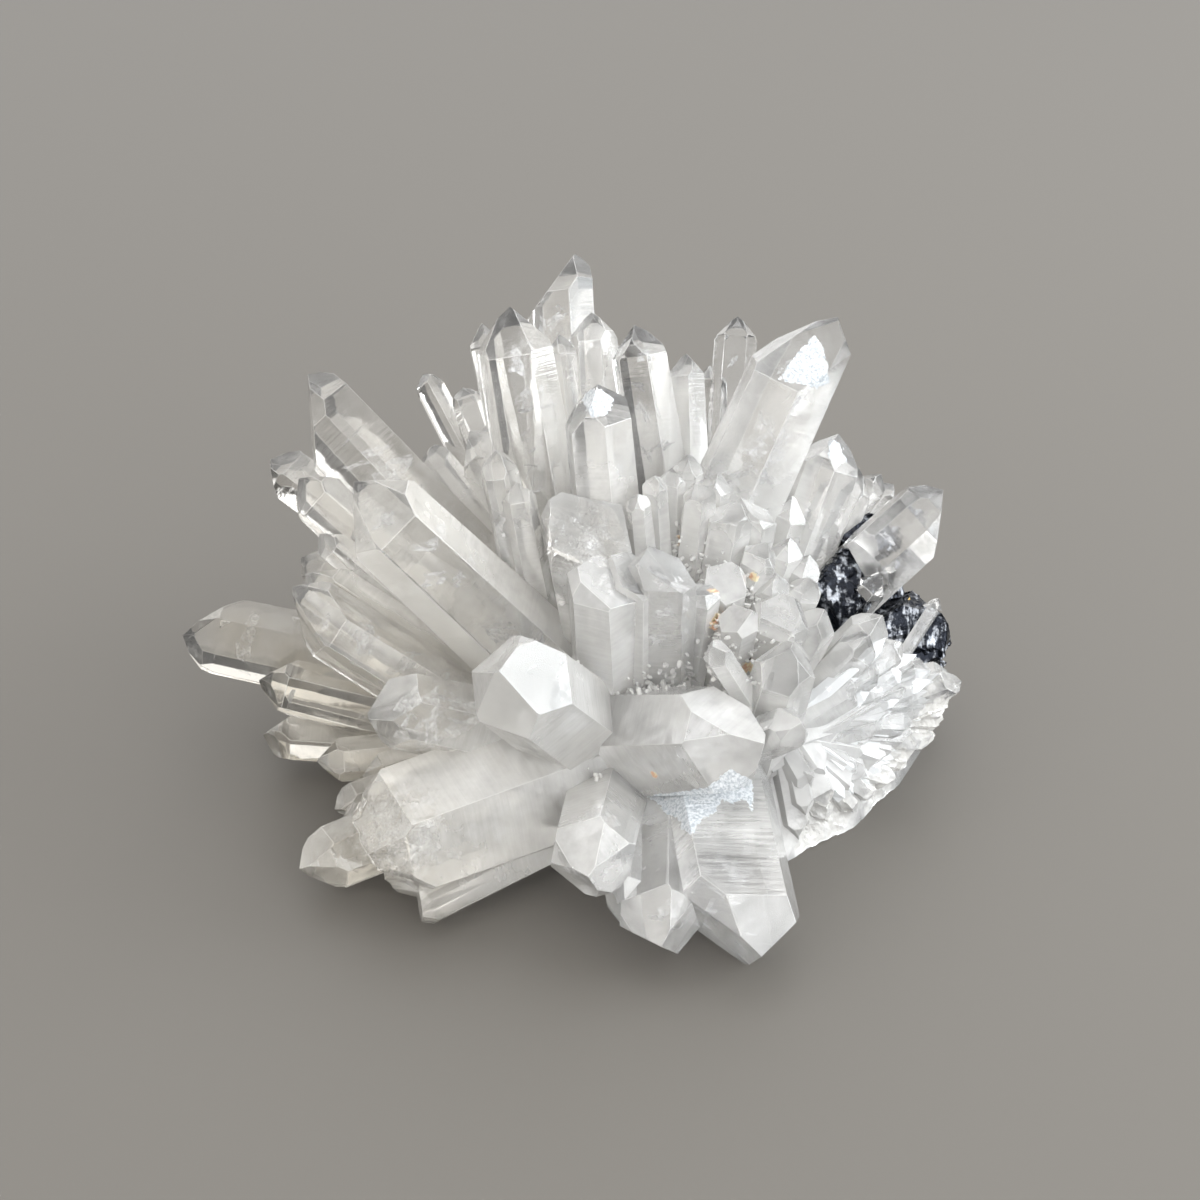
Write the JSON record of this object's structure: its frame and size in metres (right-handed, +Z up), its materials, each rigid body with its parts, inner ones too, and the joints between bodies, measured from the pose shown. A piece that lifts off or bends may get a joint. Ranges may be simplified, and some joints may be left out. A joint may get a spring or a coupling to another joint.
{
  "type": "quartz crystal cluster",
  "caption": "Cluster of clear to milky quartz points fanning out from a low core, with a patch of dark metallic ore on one side, cut flat underneath to rest on a surface.",
  "frame": {"origin": "centre of the bounding box's footprint, on the flat underside", "axes": "+Z up, -Y towards the side the picture shows, +X to the right of that view"},
  "size_m": [0.1209, 0.1121, 0.0681],
  "materials": {
    "quartz": "polished",
    "ore": "satin"
  },
  "bodies": {
    "root": {"quartz_crystals": "quartz", "dark_ore": "ore"}
  },
  "joints": []
}
